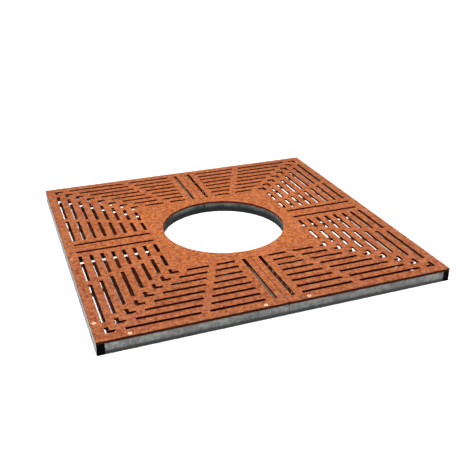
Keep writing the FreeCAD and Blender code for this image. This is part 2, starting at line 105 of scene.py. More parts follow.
def angle_property(name, description, degrees):
    return FloatProperty(name=name, description=description, subtype="ANGLE", default=math.radians(degrees))


def place_property(name, description, metres):
    return FloatVectorProperty(name=name, description=description, subtype="XYZ", unit="LENGTH",
                               default=metres)


def strength_property(name, description, strength):
    return FloatProperty(name=name, description=description, min=0, default=strength)


class RustedPlateSettings(bpy.types.PropertyGroup):
    orange: colour_property("Orange rust", "Young rust, most of the top", "B76636")
    brown: colour_property("Brown rust", "Older, redder rust in blotches", "8E4524")
    bloom: colour_property("Bloom", "Pale, pinkish bloom in patches", "B8765A")
    ochre: colour_property("Ochre flecks", "Yellow flecks of loose rust", "BD803E")
    umber: colour_property("Dark flecks", "Dark specks of mill scale", "643117")
    old: colour_property("Old rust", "Tint that dulls the rust towards the outer edges", "EAEEFF")
    # The colours of the cut walls and outer edges are dark rust, darkened further as painted shade.
    dense_shaded_light: colour_property("Dense rust, lighter", "Lighter rust of the slots' cut walls", "5A1903")
    dense_shaded_dark: colour_property("Dense rust, darker", "Darker rust of the slots' cut walls", "461202")
    edge: colour_property("Outer edges", "Dark rust of the plate's outer edges", "3D1606")
    under: colour_property("Underside", "Tint that darkens the rust of the underside", "B08A78")
    blotch: length_property("Blotch", "Width of a blotch of rust", 18)
    patch: length_property("Patch", "Width of a patch of bloom", 16)
    fleck: length_property("Fleck", "Width of a fleck", 9)
    cloud: length_property("Cloud", "Width of a lighter or darker area", 220)
    grain: length_property("Grain", "Width of a grain of rust", 2.2)
    old_from: length_property("Old rust from", "Distance from the middle at which the old rust begins", 360)
    old_to: length_property("Old rust to", "Distance from the middle at which it is strongest", 800)
    old_shift: length_property("Old rust's shift", "How far back the middle of the young rust lies", 80)


class ZincSettings(bpy.types.PropertyGroup):
    light: colour_property("Bright zinc", "Bright patches of the tubes", "858885")
    dark: colour_property("Dull zinc", "Dull patches of the tubes", "6E7270")
    # The ring's darker zinc is painted shade: the ring and the middle rails lie in shade under and inside
    # the plate.
    ring_light: colour_property("Ring, lighter zinc", "Lighter patches of the ring", "889290")
    ring_shaded_dark: colour_property("Ring, darker zinc", "Darker patches of the ring", "505A5B")
    # The seam rails' pale, warm zinc is painted light, where light falls into the seam.
    seam_painted_lit_pale: colour_property("Seam rails, lighter zinc", "Lighter patches of the seam rails", "C4B8A4")
    seam_painted_lit_dull: colour_property("Seam rails, darker zinc", "Darker patches of the seam rails", "A89A86")
    # The dark band towards the ground is painted shade.
    ground_shade: colour_property("Stain", "Dark stain towards the ground", "1F1F1E")
    run_off: colour_property("Run-off", "Rust that rain carries down from the plate", "8A5A3C")
    # The seam rails' run-off is rust made pale as painted light.
    seam_run_off_painted_lit: colour_property("Run-off in the seam", "Pale rust on the seam rails", "D0A47A")
    # The dark line just under the plate is a painted shadow of the plate's edge.
    plate_edge_shadow: colour_property("Rust line", "Rust that creeps out of the joint under the plate", "4A2A17")
    # The dark brown patch on the ring's left end and on the seam rails by the ring is painted shade.
    shade_patch: colour_property("Silt", "Brown soil on the ring's left end and on the seam rails by it", "38200E")
    shade_patch_place: place_property("Silt's place", "Middle of the silt on the ring", (-0.282, 0.076, 0.025))
    shade_patch_reach: length_property("Silt's reach", "How far the ring's silt reaches from its middle", 185)
    seam_shade_patch_reach: length_property("Silt in the seam", "How far it reaches from the grate's middle", 465)
    shade_patch_fade: length_property("Silt's fade", "Width of the silt's soft edge", 55)
    patch: length_property("Patch", "Width of a patch of even zinc", 110)
    block: length_property("Block", "Width of a stretch that left the zinc bath in one go", 240)
    spangle: length_property("Spangle", "Width of a zinc crystal", 12)
    bend: length_property("Bend", "How far the patches bend the crystals' outlines", 50)
    # Between these two heights the zinc darkens towards the ground as painted shade.
    shade_low: length_property("Shade, low", "Height below which the zinc is dullest", 15)
    shade_high: length_property("Shade, high", "Height above which the zinc is brightest", 42)
    streak: length_property("Streak", "Width of a streak of run-off", 16)
    run_low: length_property("Run-off's end", "Height that the run-off reaches down to", 37)
    line_depth: length_property("Rust line's depth", "How far down the rust line reaches", 3.5)
    # Painted shade towards the ground: its wandering upper edge, and its heights on the tubes and on the
    # ring.
    wander: length_property("Wander", "How far the stain's upper edge wanders up and down", 10)
    tube_ground_shade: length_property("Stain on the tubes", "Height that the stain fades out at", 21)
    tube_ground_shade_full: length_property("Full stain on the tubes", "Height that the full stain reaches", 11.55)
    ring_ground_shade: length_property("Stain on the ring", "Height that the stain fades out at", 47)
    ring_ground_shade_full: length_property("Full stain on the ring", "Height that the full stain reaches", 18.8)
    tube_shine: share_property("Shine of the tubes", "Strength of the zinc's reflections", 0.5)
    tube_roughness: share_property("Roughness of the tubes", "Roughness of the smoothest crystals", 0.28)
    ring_shine: share_property("Shine of the ring", "Strength of the zinc's reflections", 0.2)
    ring_roughness: share_property("Roughness of the ring", "Roughness of the smoothest crystals", 0.6)
    weld_ripple: length_property("Weld ripple", "Distance from one ripple of a weld bead to the next", 2.4)


class FastenerSettings(bpy.types.PropertyGroup):
    steel: colour_property("Stainless steel", "Bare steel of the screws in the plate", "E8E2D8")
    film: colour_property("Film", "Rust dust from the plate on the edge screws", "C07844")
    film_least: share_property("Film, least", "Least cover of the edge screws' film", 0.5)
    film_most: share_property("Film, most", "Most cover of the edge screws' film", 0.85)
    film_metal: share_property("Metal in the film", "How metallic the edge screws look", 0.48)
    ring_film: colour_property("Thick film", "Rust that covers the screws round the opening", "A35A30")
    ring_film_least: share_property("Thick film, least", "Least cover of the ring screws' film", 0.85)
    ring_film_most: share_property("Thick film, most", "Most cover of the ring screws' film", 1.0)
    ring_film_metal: share_property("Metal in the thick film", "How metallic the ring screws look", 0.05)
    dull: colour_property("Plated steel", "Rivet nuts, bolts, nuts and washers", "9A9C9C")
    dull_roughness: share_property("Plated steel's roughness", "Mean roughness of the plated steel", 0.5)
    cap: colour_property("Caps", "Black plastic of the end caps", "030303")
    # Dust, and a painted highlight, on the caps' rounded upper edges.
    cap_dust_and_highlight: colour_property("Dust", "Dust on the caps' rounded upper edges", "85776E")


class StageSettings(bpy.types.PropertyGroup):
    floor: colour_property("Floor", "Matt floor", "F0F0F0")
    floor_radius: length_property("Floor radius", "Radius of the floor, which is white to its edge", 10500)
    key_strength: FloatProperty(name="Key light", description="Power of the overhead light", unit="POWER",
                                default=62, min=0)
    key_place: place_property("Key place", "Where the overhead light hangs", (-0.5, -0.9, 11.5))
    key_radius: length_property("Key radius", "Radius of the overhead light", 500)
    low_strength: strength_property("Low fill", "Strength of the light from the walls", 0.15)
    high_strength: strength_property("High fill", "Strength of the light from the ceiling", 0.03)
    backdrop_strength: strength_property("Backdrop", "White of the backdrop past the floor's edge", 1.1)
    panel_strength: strength_property("Back panel", "Strength of the soft panel at the back", 3.2)
    panel_heading: angle_property("Panel heading", "Panel's place to the right of straight back", 17)
    panel_spread: angle_property("Panel's width", "Width of the panel as an angle", 28)
    panel_low: angle_property("Panel's lower edge", "Height of the panel's lower edge as an angle", 30.2)
    panel_high: angle_property("Panel's upper edge", "Height of the panel's upper edge as an angle", 37)
    camera_place: place_property("Camera", "Where the camera stands", (-0.9769, -2.7236, 1.426))
    camera_heading: angle_property("Heading", "Camera's turn to the right of straight back", 21.03)
    camera_tilt: angle_property("Tilt", "Camera's tilt below the horizon", 26.357)
    camera_lens: FloatProperty(name="Lens", description="Focal length on a 36 mm sensor",
                               unit="CAMERA", default=50.38)


def add_node(tree, kind, inputs=None, **settings):
    """Adds a node, gives it its settings, and sets or links its inputs by name or place."""
    node = tree.nodes.new(kind)
    for name, value in settings.items():
        setattr(node, name, value)
    for key, value in (inputs or {}).items():
        if isinstance(key, int):
            socket = node.inputs[key]
        else:
            socket = next(item for item in node.inputs if item.name == key and item.enabled)
        if isinstance(value, bpy.types.Node):
            value = next(item for item in value.outputs if item.enabled)
        if isinstance(value, bpy.types.NodeSocket):
            tree.links.new(value, socket)
        else:
            socket.default_value = value
    return node


def new_material(name):
    """An empty node material, and its node tree."""
    material = bpy.data.materials.new(name)
    material.use_nodes = True
    material.node_tree.nodes.clear()
    return material, material.node_tree


def per_metre(length):
    """Texture scale that repeats once over a length."""
    return 1 / length


def dress(names, material):
    """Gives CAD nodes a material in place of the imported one."""
    for name in names:
        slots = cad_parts[name].data.materials
        slots.clear()
        slots.append(material)


def nodes_ending(*endings):
    """Names of the CAD nodes whose names end in one of these ways."""
    found = sorted(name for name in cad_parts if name.endswith(endings))
    if not found:
        raise RuntimeError("no node ends in " + " or ".join(endings))
    return found


def young_rust(tree, settings, place, blotch_share, flecks):
    """Colour of the plate's top: blotches, bloom and flecks in faint clouds, duller towards the edges."""
    blooms = add_node(tree, "ShaderNodeTexNoise", {"Vector": place, "Scale": per_metre(settings.patch),
                                                   "Detail": 6.0, "Roughness": 0.65})
    clouds = add_node(tree, "ShaderNodeTexNoise", {"Vector": place, "Scale": per_metre(settings.cloud),
                                                   "Detail": 2.0})
    skin = add_node(tree, "ShaderNodeMix", {"Factor": blotch_share, "A": settings.brown,
                                            "B": settings.orange}, data_type="RGBA")
    # Each layer starts at the first level of its pattern, and covers most at the second.
    layers = ((blooms, 0.48, 0.64, 0.6, settings.bloom),
              (flecks, 0.54, 0.7, 0.65, settings.ochre),
              (flecks, 0.43, 0.3, 0.65, settings.umber))
    for pattern, start, full, cover, tint in layers:
        share = add_node(tree, "ShaderNodeMapRange", {"Value": pattern.outputs[0], "From Min": start,
                                                      "From Max": full, "To Max": cover})
        skin = add_node(tree, "ShaderNodeMix", {"Factor": share, "A": skin, "B": tint}, data_type="RGBA")
    lightness = add_node(tree, "ShaderNodeMapRange", {"Value": clouds.outputs[0], "From Min": 0.3,
                                                      "From Max": 0.7, "To Min": 0.92, "To Max": 1.0})
    skin = add_node(tree, "ShaderNodeHueSaturation", {"Color": skin, "Value": lightness})
    flat = add_node(tree, "ShaderNodeVectorMath",
                    {0: place, 1: (1.0, 1.0, 0.0), 2: (0.0, -settings.old_shift, 0.0)},
                    operation="MULTIPLY_ADD")
    reach = add_node(tree, "ShaderNodeVectorMath", {0: flat}, operation="LENGTH").outputs["Value"]
    old_share = add_node(tree, "ShaderNodeMapRange", {"Value": reach, "From Min": settings.old_from,
                                                      "From Max": settings.old_to})
    return add_node(tree, "ShaderNodeMix", {"Factor": old_share, "A": skin, "B": settings.old},
                    data_type="RGBA", blend_type="MULTIPLY")


def dense_rust_and_shade(tree, settings, place, blotch_share):
    """Colour of the slots' cut walls and, darker, of the outer edges: dark rust, darkened further as
    painted shade.
    """
    walls = add_node(tree, "ShaderNodeMix", {"Factor": blotch_share, "A": settings.dense_shaded_dark,
                                             "B": settings.dense_shaded_light}, data_type="RGBA")
    across = add_node(tree, "ShaderNodeVectorMath", {0: place}, operation="ABSOLUTE")
    across = add_node(tree, "ShaderNodeSeparateXYZ", {"Vector": across})
    farthest = add_node(tree, "ShaderNodeMath", {0: across.outputs["X"], 1: across.outputs["Y"]},
                        operation="MAXIMUM")
    edge_share = add_node(tree, "ShaderNodeMath", {0: farthest, 1: CAD_BOX[1].x - MILLIMETRE},
                          operation="GREATER_THAN")
    return add_node(tree, "ShaderNodeMix", {"Factor": edge_share, "A": walls, "B": settings.edge},
                    data_type="RGBA")


def weathering_steel(settings):
    """Hot-rolled weathering steel, left to rust: a matt orange skin with redder blotches, bloom and flecks.

    Cut walls and outer edges rust dark and dense, and are darkened further as painted shade.
    """
    material, tree = new_material("weathering_steel_rusted")
    place = add_node(tree, "ShaderNodeTexCoord").outputs["Object"]
    blotches = add_node(tree, "ShaderNodeTexNoise", {"Vector": place, "Scale": per_metre(settings.blotch),
                                                     "Detail": 5.0, "Roughness": 0.6})
    flecks = add_node(tree, "ShaderNodeTexNoise", {"Vector": place, "Scale": per_metre(settings.fleck),
                                                   "Detail": 3.0, "Roughness": 0.6})
    grains = add_node(tree, "ShaderNodeTexNoise", {"Vector": place, "Scale": per_metre(settings.grain),
                                                   "Detail": 4.0, "Roughness": 0.7})
    blotch_share = add_node(tree, "ShaderNodeMapRange", {"Value": blotches.outputs[0],
                                                         "From Min": 0.4, "From Max": 0.6})
    skin = young_rust(tree, settings, place, blotch_share, flecks)
    dense = dense_rust_and_shade(tree, settings, place, blotch_share)
    normal = add_node(tree, "ShaderNodeNewGeometry").outputs["Normal"]
    upward = add_node(tree, "ShaderNodeSeparateXYZ", {"Vector": normal}).outputs["Z"]
    under = add_node(tree, "ShaderNodeMix", {"Factor": 1.0, "A": skin, "B": settings.under},
                     data_type="RGBA", blend_type="MULTIPLY")
    under_share = add_node(tree, "ShaderNodeMapRange", {"Value": upward, "From Min": -0.5,
                                                        "From Max": -0.9})
    colour = add_node(tree, "ShaderNodeMix", {"Factor": under_share, "A": dense, "B": under},
                      data_type="RGBA")
    skin_share = add_node(tree, "ShaderNodeMapRange", {"Value": upward, "From Min": 0.5, "From Max": 0.9})
    colour = add_node(tree, "ShaderNodeMix", {"Factor": skin_share, "A": colour, "B": skin},
                      data_type="RGBA")
    grain_lightness = add_node(tree, "ShaderNodeMapRange", {"Value": grains.outputs[0], "From Min": 0.34,
                                                            "From Max": 0.66, "To Min": 0.7, "To Max": 1.3})
    colour = add_node(tree, "ShaderNodeHueSaturation", {"Color": colour, "Value": grain_lightness})
    roughness = add_node(tree, "ShaderNodeMapRange", {"Value": flecks.outputs[0], "To Min": 0.78,
                                                      "To Max": 0.95})
    scale_bump = add_node(tree, "ShaderNodeBump", {"Height": flecks.outputs[0], "Strength": 0.5,
                                                   "Distance": 0.5 * MILLIMETRE})
    bump = add_node(tree, "ShaderNodeBump", {"Height": grains.outputs[0], "Strength": 0.6,
                                             "Distance": 0.3 * MILLIMETRE, "Normal": scale_bump})
    shader = add_node(tree, "ShaderNodeBsdfPrincipled", {"Base Color": colour, "Roughness": roughness,
                                                         "Normal": bump, "Specular IOR Level": 0.14})
    add_node(tree, "ShaderNodeOutputMaterial", {"Surface": shader})
    return material


def zinc_tones_and_height_shade(tree, settings, upright, height, drift, crystal, light, dark):
    """Colour of the zinc: soft patches, crystals and stretches that differ in lightness, and painted shade
    low down.
    """
    patch_tone = add_node(tree, "ShaderNodeMapRange", {"Value": drift.outputs[0], "From Min": 0.35,
                                                       "From Max": 0.65})
    zinc = add_node(tree, "ShaderNodeMix", {"Factor": patch_tone, "A": dark, "B": light}, data_type="RGBA")
    blocks = add_node(tree, "ShaderNodeTexVoronoi", {"Vector": upright, "Scale": per_metre(settings.block)})
    block = add_node(tree, "ShaderNodeSeparateColor", {"Color": blocks.outputs["Color"]}).outputs["Red"]
    # Each pattern is darkest at its first level, and lightest at its second.
    tones = ((crystal, 0.0, 1.0, 0.62, 1.38),
             (block, 0.0, 1.0, 0.86, 1.14),
             # The height entry is painted shade.
             (height, settings.shade_low, settings.shade_high, 0.62, 1.0))
    for pattern, start, full, darkest, lightest in tones:
        lightness = add_node(tree, "ShaderNodeMapRange", {"Value": pattern, "From Min": start,
                                                          "From Max": full, "To Min": darkest,
                                                          "To Max": lightest})
        zinc = add_node(tree, "ShaderNodeHueSaturation", {"Color": zinc, "Value": lightness})
    return zinc


def weathered_and_shaded_zinc(tree, settings, zinc, place, upright, height, run_off, shade_patch, ground_shade):
    """Run-off streaks, and painted shade: a line under the plate, patches, and towards the ground."""
    streaks = add_node(tree, "ShaderNodeTexNoise", {"Vector": upright, "Scale": per_metre(settings.streak),
                                                    "Detail": 3.0})
    run = add_node(tree, "ShaderNodeMapRange", {"Value": height, "From Min": settings.run_low,
                                                "From Max": TUBE_TOP})
    run_share = add_node(tree, "ShaderNodeMath", {0: run, 1: streaks.outputs[0]}, operation="MULTIPLY")
    # Painted shadow line under the plate's edge.
    line_bottom = TUBE_TOP - settings.line_depth
    line_share = add_node(tree, "ShaderNodeMapRange", {"Value": height, "From Min": line_bottom,
                                                       "From Max": (line_bottom + TUBE_TOP) / 2})
    # A dark patch of painted shade around a given place.
    shade_patch_place, shade_patch_reach = shade_patch
    from_shade_patch = add_node(tree, "ShaderNodeVectorMath", {0: place, 1: shade_patch_place},
                         operation="DISTANCE").outputs["Value"]
    shade_patch_share = add_node(tree, "ShaderNodeMapRange", {"Value": from_shade_patch, "From Min": shade_patch_reach,
                                                       "From Max": shade_patch_reach - settings.shade_patch_fade,
                                                       "To Max": 0.95})
    # Painted shade towards the ground, with a wandering upper edge.
    wandering = add_node(tree, "ShaderNodeMapRange", {"Value": streaks.outputs[0],
                                                      "To Min": -settings.wander / 2,
                                                      "To Max": settings.wander / 2})
    ground_shade_height = add_node(tree, "ShaderNodeMath", {0: height, 1: wandering}, operation="ADD")
    ground_shade_top, ground_shade_full = ground_shade
    ground_shade_share = add_node(tree, "ShaderNodeMapRange", {"Value": ground_shade_height, "From Min": ground_shade_top,
                                                        "From Max": ground_shade_full, "To Max": 0.95},
                           interpolation_type="SMOOTHSTEP")
    colour = zinc
    layers = ((run_share, run_off), (line_share, settings.plate_edge_shadow), (shade_patch_share, settings.shade_patch),
              (ground_shade_share, settings.ground_shade))
    for share, tint in layers:
        colour = add_node(tree, "ShaderNodeMix", {"Factor": share, "A": colour, "B": tint},
                          data_type="RGBA")
    return colour


def galvanised_steel(name, settings, light, dark, run_off, shade_patch, ground_shade, shine, smoothest):
    """Steel dipped in molten zinc: soft grey clouds over faint crystals.

    Painted shade darkens it towards the ground and in patches, and rain carries streaks of rust down
    from the plate. The shade patch is given by its place and reach, and the ground shade by the heights
    at which it ends and is full.
    """
    material, tree = new_material(name)
    place = add_node(tree, "ShaderNodeTexCoord").outputs["Object"]
    height = add_node(tree, "ShaderNodeSeparateXYZ", {"Vector": place}).outputs["Z"]
    # Streaks and stretches are ten times as high as they are wide.
    upright = add_node(tree, "ShaderNodeVectorMath", {0: place, 1: (1.0, 1.0, 0.1)}, operation="MULTIPLY")
    drift = add_node(tree, "ShaderNodeTexNoise", {"Vector": place, "Scale": per_metre(settings.patch),
                                                  "Detail": 4.0})
    bent = add_node(tree, "ShaderNodeVectorMath",
                    {0: drift.outputs["Color"], 1: 3 * (settings.bend,), 2: place},
                    operation="MULTIPLY_ADD")
    spangles = add_node(tree, "ShaderNodeTexVoronoi", {"Vector": bent,
                                                       "Scale": per_metre(settings.spangle)})
    crystal = add_node(tree, "ShaderNodeSeparateColor", {"Color": spangles.outputs["Color"]}).outputs["Red"]
    zinc = zinc_tones_and_height_shade(tree, settings, upright, height, drift, crystal, light, dark)
    colour = weathered_and_shaded_zinc(tree, settings, zinc, place, upright, height, run_off, shade_patch, ground_shade)
    roughness = add_node(tree, "ShaderNodeMapRange", {"Value": crystal, "To Min": smoothest,
                                                      "To Max": smoothest + 0.17})
    bump = add_node(tree, "ShaderNodeBump", {"Height": drift.outputs[0], "Strength": 0.3,
                                             "Distance": 0.6 * MILLIMETRE})
    shader = add_node(tree, "ShaderNodeBsdfPrincipled", {"Base Color": colour, "Metallic": 0.35,
                                                         "Roughness": roughness, "Normal": bump,
                                                         "Specular IOR Level": shine})
    add_node(tree, "ShaderNodeOutputMaterial", {"Surface": shader})
    return material


def tube_zinc(name, zinc):
    """The zinc of the frame's outer tubes and of the welds."""
    return galvanised_steel(name, zinc, zinc.light, zinc.dark, zinc.run_off,
                            shade_patch=(zinc.shade_patch_place, zinc.shade_patch_reach),
                            ground_shade=(zinc.tube_ground_shade, zinc.tube_ground_shade_full),
                            shine=zinc.tube_shine, smoothest=zinc.tube_roughness)


def seam_zinc(name, zinc):
    """The zinc of the rails along the seam: paler and warmer as painted light, with rust run-off and
    painted shade by the ring.
    """
    return galvanised_steel(name, zinc, zinc.seam_painted_lit_pale, zinc.seam_painted_lit_dull, zinc.seam_run_off_painted_lit,
                            shade_patch=(GRATE_MIDDLE, zinc.seam_shade_patch_reach),
                            ground_shade=(zinc.tube_ground_shade, zinc.tube_ground_shade_full),
                            shine=zinc.tube_shine, smoothest=zinc.tube_roughness)


def ring_zinc(name, zinc):
    """The zinc of the ring, its lugs and the middle rails: dull, darker as painted shade, and shaded nearly
    to the top.
    """
    return galvanised_steel(name, zinc, zinc.ring_light, zinc.ring_shaded_dark, zinc.run_off,
                            shade_patch=(zinc.shade_patch_place, zinc.shade_patch_reach),
                            ground_shade=(zinc.ring_ground_shade, zinc.ring_ground_shade_full),
                            shine=zinc.ring_shine, smoothest=zinc.ring_roughness)


def turned_steel(name, colour, roughness):
    """Machined screw steel: fine tool marks scatter the light, so heads look pale and even."""
    material, tree = new_material(name)
    place = add_node(tree, "ShaderNodeTexCoord").outputs["Object"]
    # Real tool marks are about 0.2 mm apart; 1.5 mm is as fine as the picture can show.
    marks = add_node(tree, "ShaderNodeTexNoise", {"Vector": place, "Scale": per_metre(1.5 * MILLIMETRE),
                                                  "Detail": 2.0})
    lightness = add_node(tree, "ShaderNodeMapRange", {"Value": marks.outputs[0], "To Min": 0.9,
                                                      "To Max": 1.06})
    shade = add_node(tree, "ShaderNodeHueSaturation", {"Color": colour, "Value": lightness})
    rough = add_node(tree, "ShaderNodeMapRange", {"Value": marks.outputs[0], "To Min": roughness - 0.06,
                                                  "To Max": roughness + 0.06})
    bump = add_node(tree, "ShaderNodeBump", {"Height": marks.outputs[0], "Strength": 0.2,
                                             "Distance": 0.05 * MILLIMETRE})
    shader = add_node(tree, "ShaderNodeBsdfPrincipled", {"Base Color": shade, "Metallic": 1.0,
                                                         "Roughness": rough, "Normal": bump})
    add_node(tree, "ShaderNodeOutputMaterial", {"Surface": shader})
    return material


def filmed_steel(name, steel, film, least, most, metal_share):
    """Turned stainless steel under a film of the plate's rust dust.

    It looks warm and patchy, and shines where the film is thin.
    """
    material, tree = new_material(name)
    place = add_node(tree, "ShaderNodeTexCoord").outputs["Object"]
    # Dust lies in specks of about 0.5 mm; 2 mm is as fine as the picture can show.
    dust = add_node(tree, "ShaderNodeTexNoise", {"Vector": place, "Scale": per_metre(2 * MILLIMETRE),
                                                 "Detail": 3.0})
    film_share = add_node(tree, "ShaderNodeMapRange", {"Value": dust.outputs[0], "From Min": 0.3,
                                                       "From Max": 0.6, "To Min": least, "To Max": most})
    colour = add_node(tree, "ShaderNodeMix", {"Factor": film_share, "A": steel, "B": film},
                      data_type="RGBA")
    roughness = add_node(tree, "ShaderNodeMapRange", {"Value": film_share, "To Min": 0.03, "To Max": 0.18})
    bump = add_node(tree, "ShaderNodeBump", {"Height": dust.outputs[0], "Strength": 0.05,
                                             "Distance": 0.05 * MILLIMETRE})
    shader = add_node(tree, "ShaderNodeBsdfPrincipled", {"Base Color": colour, "Metallic": metal_share,
                                                         "Roughness": roughness, "Normal": bump})
    add_node(tree, "ShaderNodeOutputMaterial", {"Surface": shader})
    return material


def moulded_polyethylene(settings):
    """Black polyethylene, moulded with a fine spark-eroded grain: almost no shine; dust and a painted
    highlight on top.
    """
    material, tree = new_material("polyethylene_moulded_black")
    place = add_node(tree, "ShaderNodeTexCoord").outputs["Object"]
    # The grain is about 0.3 mm; it is drawn at 1 mm so that it shows close to.
    grain = add_node(tree, "ShaderNodeTexNoise", {"Vector": place, "Scale": per_metre(1 * MILLIMETRE),
                                                  "Detail": 3.0})
    scuffs = add_node(tree, "ShaderNodeTexNoise", {"Vector": place, "Scale": per_metre(9 * MILLIMETRE),
                                                   "Detail": 4.0})
    scuff_lightness = add_node(tree, "ShaderNodeMapRange", {"Value": scuffs.outputs[0], "From Min": 0.5,
                                                            "From Max": 0.8, "To Min": 1.0, "To Max": 2.5})
    plastic = add_node(tree, "ShaderNodeHueSaturation", {"Color": settings.cap, "Value": scuff_lightness})
    normal = add_node(tree, "ShaderNodeNewGeometry").outputs["Normal"]
    upward = add_node(tree, "ShaderNodeSeparateXYZ", {"Vector": normal}).outputs["Z"]
    # Upward-facing surfaces get dust and a painted highlight.
    facing_up = add_node(tree, "ShaderNodeMapRange", {"Value": upward, "From Min": 0.1, "From Max": 0.6})
    dust_and_highlight_share = add_node(tree, "ShaderNodeMath", {0: facing_up, 1: scuffs.outputs[0]}, operation="MULTIPLY")
    colour = add_node(tree, "ShaderNodeMix", {"Factor": dust_and_highlight_share, "A": plastic, "B": settings.cap_dust_and_highlight},
                      data_type="RGBA")
    roughness = add_node(tree, "ShaderNodeMapRange", {"Value": grain.outputs[0], "To Min": 0.5,
                                                      "To Max": 0.7})
    bump = add_node(tree, "ShaderNodeBump", {"Height": grain.outputs[0], "Strength": 0.3,
                                             "Distance": 0.1 * MILLIMETRE})
    shader = add_node(tree, "ShaderNodeBsdfPrincipled", {"Base Color": colour, "Roughness": roughness,
                                                         "Normal": bump, "Specular IOR Level": 0.02})
    add_node(tree, "ShaderNodeOutputMaterial", {"Surface": shader})
    return material


def matt_floor(colour):
    """Matt white paper: no shine, no pattern."""
    material, tree = new_material("paper_matt_white")
    shader = add_node(tree, "ShaderNodeBsdfPrincipled", {"Base Color": colour, "Roughness": 1.0,
                                                         "Specular IOR Level": 0.0})
    add_node(tree, "ShaderNodeOutputMaterial", {"Surface": shader})
    return material


def solids_in(mesh):
    """Points of each separate solid in a mesh."""
    shape = bmesh.new()
    shape.from_mesh(mesh)
    bmesh.ops.remove_doubles(shape, verts=shape.verts[:], dist=MILLIMETRE / 100)
    waiting = set(shape.verts)
    solids = []
    while waiting:
        reached = [waiting.pop()]
        for vertex in reached:
            linked = {edge.other_vert(vertex) for edge in vertex.link_edges} & waiting
            waiting -= linked
            reached.extend(linked)
        solids.append([vertex.co.copy() for vertex in reached])
    shape.free()
    return solids


def inner_corner(points):
    """The upright edge that a quarter-round bead grows from, its ways along x and y, and its two ends.

    Three corners of the bead's box are on the bead; the fourth, which is not, lies across from that edge.
    """
    low, high = (Vector(pick(point[axis] for point in points) for axis in range(3)) for pick in (min, max))
    ways = [(x_way, y_way) for x_way in (-1, 1) for y_way in (-1, 1)]

    def distance(way):
        corner = Vector((high.x if way[0] > 0 else low.x, high.y if way[1] > 0 else low.y))
        return min((point.xy - corner).length for point in points)

    x_way, y_way = max(ways, key=distance)
    corner = Vector((low.x if x_way > 0 else high.x, low.y if y_way > 0 else high.y))
    return corner, x_way, y_way, low.z, high.z


def add_bead(shape, points, leg, ripple):
    """Adds a weld bead of overlapping ripples, each one sagging in the middle as the molten pool did."""
    corner, x_way, y_way, bottom, top = inner_corner(points)
    steps = round((top - bottom) / ripple) * BEAD_RIPPLE_STEPS
    last_ring = None
    for step in range(steps + 1):
        height = bottom + (top - bottom) * step / steps
        ring = [shape.verts.new((*corner, height))]
        for arc_step in range(BEAD_ARC_STEPS + 1):
            angle = math.pi / 2 * arc_step / BEAD_ARC_STEPS
            phase = height / ripple + BEAD_SAG * math.sin(2 * angle)
            radius = leg * (1 - BEAD_DIP * (1 - abs(math.sin(math.pi * phase))))
            ring.append(shape.verts.new((corner.x + x_way * radius * math.cos(angle),
                                         corner.y + y_way * radius * math.sin(angle), height)))
        if last_ring:
            for index, vertex in enumerate(ring):
                following = (index + 1) % len(ring)
                face = shape.faces.new((last_ring[index], last_ring[following], ring[following], vertex))
                face.smooth = 0 < index < len(ring) - 1
        if step in (0, steps):
            shape.faces.new(ring)
        last_ring = ring


def add_object(name, data):
    """Adds a mesh, a light or a camera to the scene."""
    item = bpy.data.objects.new(name, data)
    bpy.context.scene.collection.objects.link(item)
    return item


def lay_floor(stage):
    """Lays a round floor under the grate."""
    mesh = bpy.data.meshes.new("floor")
    shape = bmesh.new()
    bmesh.ops.create_circle(shape, cap_ends=True, segments=FLOOR_SIDES, radius=stage.floor_radius)
    shape.to_mesh(mesh)
    shape.free()
    mesh.materials.append(matt_floor(stage.floor))
    floor = add_object("floor", mesh)
    floor.location.z = CAD_BOX[0].z


def hang_key_light(stage):
    """Hangs the overhead light. It keeps its strength with distance, so the far floor stays white."""
    key = bpy.data.lights.new("key_light", "POINT")
    key.energy = stage.key_strength
    key.shadow_soft_size = stage.key_radius
    key.use_nodes = True
    key.node_tree.nodes.clear()
    falloff = add_node(key.node_tree, "ShaderNodeLightFalloff", {"Strength": 1.0}).outputs["Constant"]
    emission = add_node(key.node_tree, "ShaderNodeEmission", {"Strength": falloff})
    add_node(key.node_tree, "ShaderNodeOutputLight", {"Surface": emission})
    add_object("key_light", key).location = stage.key_place


def hang_back_panel(stage):
    """Hangs a soft panel at the back, only for the shiny heads of the edge screws to reflect."""
    panel = bpy.data.lights.new("back_panel", "AREA")
    panel.shape = "RECTANGLE"
    panel.size = PANEL_DISTANCE * stage.panel_spread
    panel.size_y = PANEL_DISTANCE * (stage.panel_high - stage.panel_low)
    panel.energy = stage.panel_strength * math.pi * panel.size * panel.size_y
    middle = (stage.panel_low + stage.panel_high) / 2
    away = Vector((math.sin(stage.panel_heading) * math.cos(middle),
                   math.cos(stage.panel_heading) * math.cos(middle), math.sin(middle)))
    softbox = add_object("back_panel", panel)
    softbox.location = PANEL_DISTANCE * away
    softbox.rotation_euler = away.to_track_quat("Z", "Y").to_euler()
    screws = bpy.data.collections.new("edge_screws")
    for name in nodes_ending("_edge_screws"):
        screws.objects.link(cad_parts[name])
    softbox.light_linking.receiver_collection = screws


